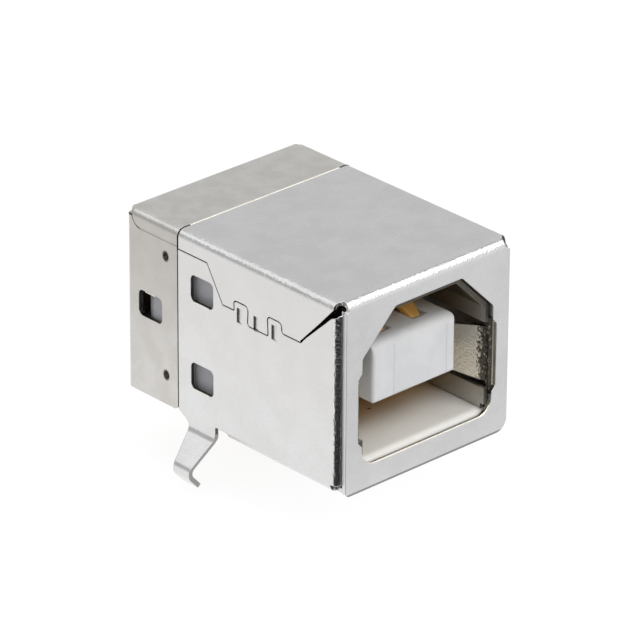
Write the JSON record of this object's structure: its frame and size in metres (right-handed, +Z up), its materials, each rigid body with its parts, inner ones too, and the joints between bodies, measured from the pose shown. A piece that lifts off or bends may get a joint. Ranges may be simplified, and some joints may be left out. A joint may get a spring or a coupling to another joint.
{
  "type": "usb-b socket",
  "caption": "Right-angle board socket for a square plug: folded metal shell with side springs and board hooks, rear cover, white plastic tongue and gold contacts.",
  "frame": {"origin": "on the board's top face, midway between the two board hooks", "axes": "+X to the right as seen from behind the plug, +Y from the plug opening towards the rear cover, +Z up from the board; the plug leaves along -Y"},
  "size_m": [0.0148, 0.0161, 0.0138],
  "materials": {
    "shell_plate": "nickel-plated sheet steel, satin",
    "cover_plate": "nickel-plated sheet steel, satin, slightly warmer and mottled",
    "shield_plate": "nickel-plated sheet steel, smooth",
    "white_plastic": "moulded glass-filled PBT",
    "spacer_plastic": "moulded glass-filled PBT",
    "gold_contact": "phosphor bronze with gold plating"
  },
  "bodies": {
    "root": {"shell": "shell_plate", "rear_cover": "cover_plate", "inner_shield": "shield_plate", "housing": "white_plastic", "tail_spacer": "spacer_plastic", "contact_1": "gold_contact", "contact_2": "gold_contact", "contact_3": "gold_contact", "contact_4": "gold_contact"}
  },
  "joints": []
}
